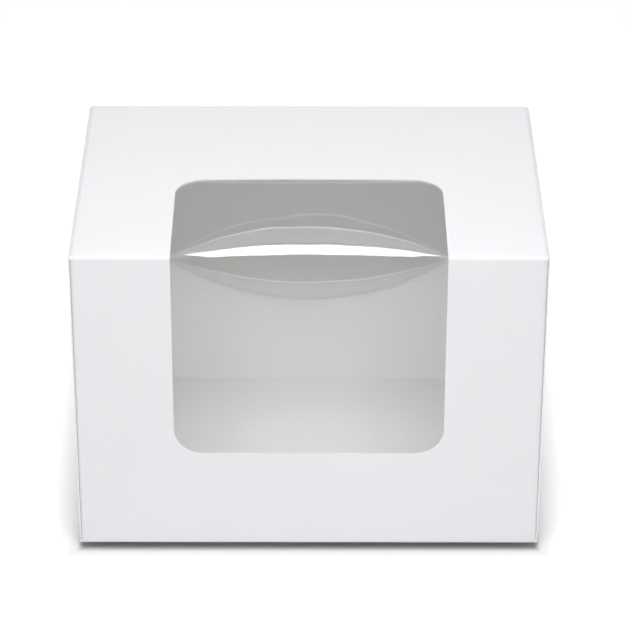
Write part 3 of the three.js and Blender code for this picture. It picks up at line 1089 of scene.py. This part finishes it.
class CARTON_OT_stage(bpy.types.Operator):
    """Set up the camera, the pale floor, the two lamps and the plain surroundings"""

    bl_idname = "cookie_box.set_stage"
    bl_label = "Set the stage"

    def execute(self, context):
        scene = context.scene
        scene.view_settings.view_transform = "Standard"
        self.camera(scene)
        self.floor(scene)
        stage = scene.cookie_box_stage
        overhead = self.lamp(
            scene, "Overhead lamp", OVERHEAD_PLACE, OVERHEAD_SIZE, stage.overhead_power
        )
        overhead.visible_diffuse = False
        key = self.lamp(scene, "Key lamp", KEY_PLACE, KEY_SIZE, stage.key_power)
        key.rotation_euler = (Vector(KEY_PLACE) - KEY_AIM).to_track_quat("Z", "Y").to_euler()
        key.visible_glossy = False
        key.visible_transmission = False
        self.surroundings(scene)
        return {"FINISHED"}

    def camera(self, scene):
        """Camera at its place, aimed by its pitch, yaw and roll."""
        data = bpy.data.cameras.new("Camera")
        data.lens, data.sensor_width = CAMERA_LENS, 36.0
        data.clip_start, data.clip_end = 0.01, 20.0
        camera = bpy.data.objects.new("Camera", data)
        pitch, yaw, roll = (math.radians(a) for a in (CAMERA_PITCH, CAMERA_YAW, CAMERA_ROLL))
        ahead = Vector(
            (
                math.sin(yaw) * math.cos(pitch),
                math.cos(yaw) * math.cos(pitch),
                -math.sin(pitch),
            )
        )
        level = Vector((math.cos(yaw), -math.sin(yaw), 0))
        upright = level.cross(ahead)
        right = math.cos(roll) * level + math.sin(roll) * upright
        up = -math.sin(roll) * level + math.cos(roll) * upright
        turn = Matrix((right, up, -ahead)).transposed().to_4x4()
        camera.matrix_world = Matrix.Translation(CAMERA_PLACE) @ turn
        scene.collection.objects.link(camera)
        scene.camera = camera

    def floor(self, scene):
        """Pale floor that keeps the box's shadow, with a painted shadow in its colour right under
        the box.
        """
        mesh = bpy.data.meshes.new("floor")
        turns = ((-1, -1), (1, -1), (1, 1), (-1, 1))
        corners = [(x * FLOOR_REACH, y * FLOOR_REACH, 0) for x, y in turns]
        mesh.from_pydata(corners, [], [(0, 1, 2, 3)])
        floor = bpy.data.objects.new("floor", mesh)
        scene.collection.objects.link(floor)
        material = bpy.data.materials.new("Pale floor")
        material.use_nodes = True
        tree = material.node_tree
        shader = tree.nodes["Principled BSDF"]
        shader.inputs["Roughness"].default_value = 0.9
        shader.inputs["Specular IOR Level"].default_value = 0.1
        rays = tree.nodes.new("ShaderNodeLightPath")
        seen = math_node(
            tree, "MAXIMUM", rays.outputs["Is Camera Ray"], rays.outputs["Is Glossy Ray"]
        )
        seen = math_node(tree, "MAXIMUM", seen, rays.outputs["Is Transmission Ray"])
        place = tree.nodes.new("ShaderNodeTexCoord")
        outwards = tree.nodes.new("ShaderNodeVectorMath")
        outwards.operation = "ABSOLUTE"
        away = tree.nodes.new("ShaderNodeVectorMath")
        away.operation = "SUBTRACT"
        away.inputs[1].default_value = (SIDE_X, BACK_Y, 0)
        apart = tree.nodes.new("ShaderNodeSeparateXYZ")
        rise = tree.nodes.new("ShaderNodeMapRange")
        rise.inputs["From Max"].default_value = GLOW_REACH
        rise.inputs["To Max"].default_value = GLOW_FAR
        # Painted shadow: the floor's colour darkens right under the box
        shade = tree.nodes.new("ShaderNodeMapRange")
        shade.inputs["From Min"].default_value = -PAINTED_SHADOW_EDGE
        shade.inputs["From Max"].default_value = PAINTED_SHADOW_EDGE
        shade.inputs["To Min"].default_value = PAINTED_SHADOW_UNDER_BOX
        shade.inputs["To Max"].default_value = 0.0
        distance = math_node(tree, "MAXIMUM", apart.outputs[0], apart.outputs[1])
        base_colour = shader.inputs["Base Color"]
        glow = tree.nodes.new("ShaderNodeEmission")
        join_nodes(
            tree,
            (place.outputs["Object"], outwards.inputs[0]),
            (outwards.outputs[0], away.inputs[0]),
            (away.outputs[0], apart.inputs[0]),
            (distance, rise.inputs["Value"]),
            (distance, shade.inputs["Value"]),
            (tinted(tree, scene.cookie_box_stage.floor, shade.outputs[0]), base_colour),
            (math_node(tree, "MULTIPLY", seen, rise.outputs[0]), glow.inputs["Strength"]),
        )
        both = tree.nodes.new("ShaderNodeAddShader")
        join_nodes(
            tree,
            (shader.outputs[0], both.inputs[0]),
            (glow.outputs[0], both.inputs[1]),
            (both.outputs[0], tree.nodes["Material Output"].inputs["Surface"]),
        )
        mesh.materials.append(material)

    def lamp(self, scene, name, place, size, power):
        """Rectangular lamp that points straight down."""
        data = bpy.data.lights.new(name, "AREA")
        data.shape = "RECTANGLE"
        data.size, data.size_y = size
        data.energy = power
        lamp = bpy.data.objects.new(name, data)
        lamp.location = place
        scene.collection.objects.link(lamp)
        return lamp

    def surroundings(self, scene):
        """Soft surroundings whose brightness changes with the elevation."""
        world = bpy.data.worlds.new("Surroundings")
        world.use_nodes = True
        scene.world = world
        tree = world.node_tree
        backdrop = tree.nodes["Background"]
        facing = tree.nodes.new("ShaderNodeTexCoord")
        apart = tree.nodes.new("ShaderNodeSeparateXYZ")
        tree.links.new(facing.outputs["Generated"], apart.inputs[0])
        front = glow_ramp(tree, apart.outputs[2], (*FRONT_GLOW, *FRONT_DARK))
        back = glow_ramp(tree, apart.outputs[2], BACK_GLOW)
        behind = math_node(tree, "GREATER_THAN", apart.outputs[1], 0.0)
        mix = tree.nodes.new("ShaderNodeMix")
        mix.data_type = "RGBA"
        join_nodes(
            tree,
            (behind, mix.inputs[0]),
            (front, mix.inputs[6]),
            (back, mix.inputs[7]),
            (mix.outputs[2], backdrop.inputs["Color"]),
        )
        backdrop.inputs["Strength"].default_value = GLOW_TOP


# Panel and registration


class CARTON_PT_panel(bpy.types.Panel):
    """Lists the settings of the cookie box, each step with its button"""

    bl_idname = "CARTON_PT_panel"
    bl_label = "Cookie box"
    bl_space_type = "VIEW_3D"
    bl_region_type = "UI"
    bl_category = "Cookie box"

    def draw(self, context):
        for settings, operator in STEPS:
            box = self.layout.box()
            for name in settings:
                group = getattr(context.scene, name)
                for field in group.bl_rna.properties:
                    if field.identifier not in ("name", "rna_type"):
                        box.prop(group, field.identifier)
            box.operator(operator.bl_idname)


SETTINGS = {
    "cookie_box_board": BoardSettings,
    "cookie_box_carton": CartonSettings,
    "cookie_box_end_flaps": EndFlapSettings,
    "cookie_box_film": FilmSettings,
    "cookie_box_stage": StageSettings,
}
STEPS = (
    (("cookie_box_stage",), CARTON_OT_stage),
    (("cookie_box_board", "cookie_box_carton"), CARTON_OT_fold),
    (("cookie_box_end_flaps",), CARTON_OT_end_flaps),
    (("cookie_box_film",), CARTON_OT_film),
)


def register():
    for name, group in SETTINGS.items():
        bpy.utils.register_class(group)
        setattr(bpy.types.Scene, name, PointerProperty(type=group))
    for _, operator in STEPS:
        bpy.utils.register_class(operator)
    bpy.utils.register_class(CARTON_PT_panel)


def unregister():
    bpy.utils.unregister_class(CARTON_PT_panel)
    for _, operator in reversed(STEPS):
        bpy.utils.unregister_class(operator)
    for name, group in reversed(SETTINGS.items()):
        delattr(bpy.types.Scene, name)
        bpy.utils.unregister_class(group)


def main():
    register()
    bpy.ops.cookie_box.set_stage()
    bpy.ops.cookie_box.fold_carton()
    bpy.ops.cookie_box.fold_end_flaps()
    bpy.ops.cookie_box.bend_film()


if __name__ == "__main__":
    main()
